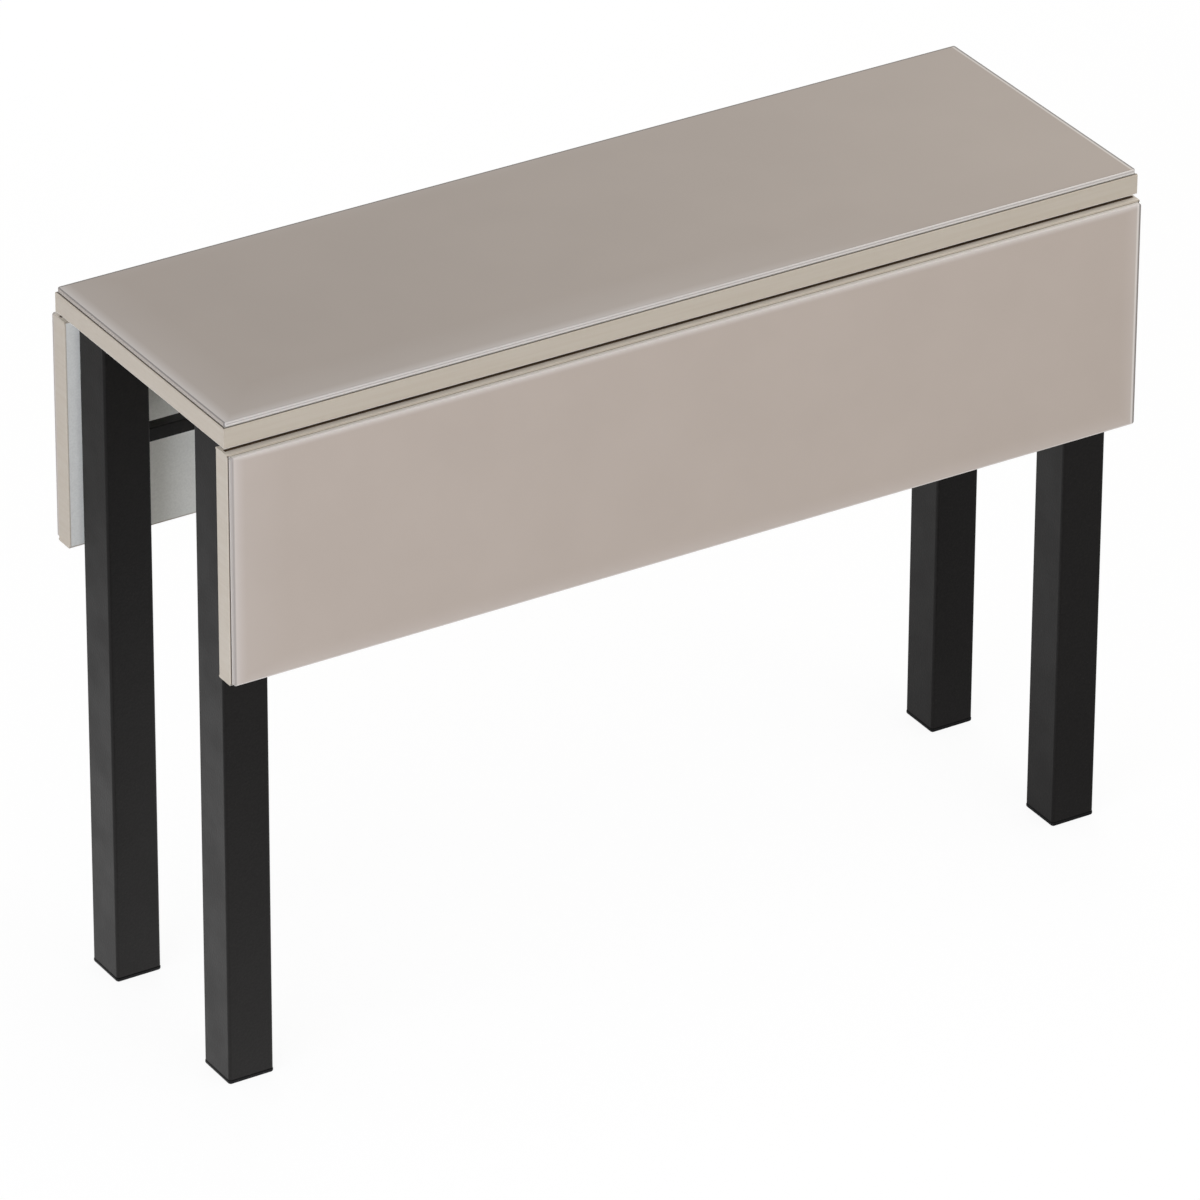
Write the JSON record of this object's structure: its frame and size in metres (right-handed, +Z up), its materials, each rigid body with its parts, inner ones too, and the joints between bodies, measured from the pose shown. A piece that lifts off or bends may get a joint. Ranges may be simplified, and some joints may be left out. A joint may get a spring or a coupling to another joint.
{
  "type": "drop-leaf dining table",
  "caption": "Narrow glass-faced dining table on square steel legs, with a hinged leaf hanging along each long side that swings up onto a folding prop to widen the top.",
  "frame": {"origin": "on the floor, under the middle of the top", "axes": "+X along the table, +Y across it towards the rear leaf, +Z up"},
  "size_m": [1.04, 0.351, 0.75],
  "materials": {
    "painted_glass": "toughened glass painted taupe on its back, polished edges",
    "coated_board": "particle board with a light grey melamine coating",
    "edge_band": "greige plastic edge band with eased edges",
    "mounting_tape": "foam mounting tape",
    "black_steel": "graphite powder coat, satin",
    "foot_plastic": "moulded black plastic",
    "zinc_steel": "bright zinc plate",
    "sleeve_nylon": "dark grey nylon",
    "bumper_rubber": "soft black rubber"
  },
  "bodies": {
    "frame": {"top_board": "coated_board", "top_edge_bands": "edge_band", "top_glass": "painted_glass", "top_glass_tape": "mounting_tape", "leg_plate_screws": "zinc_steel", "hinge_base_screws": "zinc_steel", "prop_lug_screws": "zinc_steel", "leg_front_left": "black_steel", "leg_plate_front_left": "black_steel", "foot_front_left": "foot_plastic", "leg_front_right": "black_steel", "leg_plate_front_right": "black_steel", "foot_front_right": "foot_plastic", "leg_rear_left": "black_steel", "leg_plate_rear_left": "black_steel", "foot_rear_left": "foot_plastic", "leg_rear_right": "black_steel", "leg_plate_rear_right": "black_steel", "foot_rear_right": "foot_plastic", "front_rail": "black_steel", "front_hinge_pins": "zinc_steel", "front_prop_pins": "zinc_steel", "front_hinge_base_left": "zinc_steel", "front_prop_lug_left": "black_steel", "front_hinge_base_right": "zinc_steel", "front_prop_lug_right": "black_steel", "rear_rail": "black_steel", "rear_hinge_pins": "zinc_steel", "rear_prop_pins": "zinc_steel", "rear_hinge_base_left": "zinc_steel", "rear_prop_lug_left": "black_steel", "rear_hinge_base_right": "zinc_steel", "rear_prop_lug_right": "black_steel"},
    "front_leaf": {"front_leaf_board": "coated_board", "front_leaf_edge_bands": "edge_band", "front_leaf_glass": "painted_glass", "front_leaf_glass_tape": "mounting_tape", "front_leaf_screws": "zinc_steel", "front_leaf_catch": "black_steel", "front_leaf_bumpers": "bumper_rubber", "front_hinge_strap_left": "zinc_steel", "front_hinge_strap_right": "zinc_steel"},
    "rear_leaf": {"rear_leaf_board": "coated_board", "rear_leaf_edge_bands": "edge_band", "rear_leaf_glass": "painted_glass", "rear_leaf_glass_tape": "mounting_tape", "rear_leaf_screws": "zinc_steel", "rear_leaf_catch": "black_steel", "rear_leaf_bumpers": "bumper_rubber", "rear_hinge_strap_left": "zinc_steel", "rear_hinge_strap_right": "zinc_steel"},
    "front_prop": {"front_prop_rod": "black_steel", "front_prop_sleeve": "sleeve_nylon", "front_prop_arm_left": "black_steel", "front_prop_arm_right": "black_steel"},
    "rear_prop": {"rear_prop_rod": "black_steel", "rear_prop_sleeve": "sleeve_nylon", "rear_prop_arm_left": "black_steel", "rear_prop_arm_right": "black_steel"}
  },
  "joints": [
    {"name": "front_leaf_fold", "type": "hinge", "parent": "frame", "child": "front_leaf", "pos_m": [0, -0.15575, 0.73025], "axis": [-1, 0, 0], "range_deg": [0, 90]},
    {"name": "front_prop_swing", "type": "hinge", "parent": "frame", "child": "front_prop", "pos_m": [0, -0.1415, 0.6305], "axis": [-1, 0, 0], "range_deg": [0, 126.8]},
    {"name": "rear_leaf_fold", "type": "hinge", "parent": "frame", "child": "rear_leaf", "pos_m": [0, 0.15575, 0.73025], "axis": [1, 0, 0], "range_deg": [0, 90]},
    {"name": "rear_prop_swing", "type": "hinge", "parent": "frame", "child": "rear_prop", "pos_m": [0, 0.1415, 0.6305], "axis": [1, 0, 0], "range_deg": [0, 126.8]}
  ],
  "couplings": [
    {"joint": "front_prop_swing", "follows": "front_leaf_fold", "ratio": 1.408},
    {"joint": "rear_prop_swing", "follows": "rear_leaf_fold", "ratio": 1.408}
  ]
}
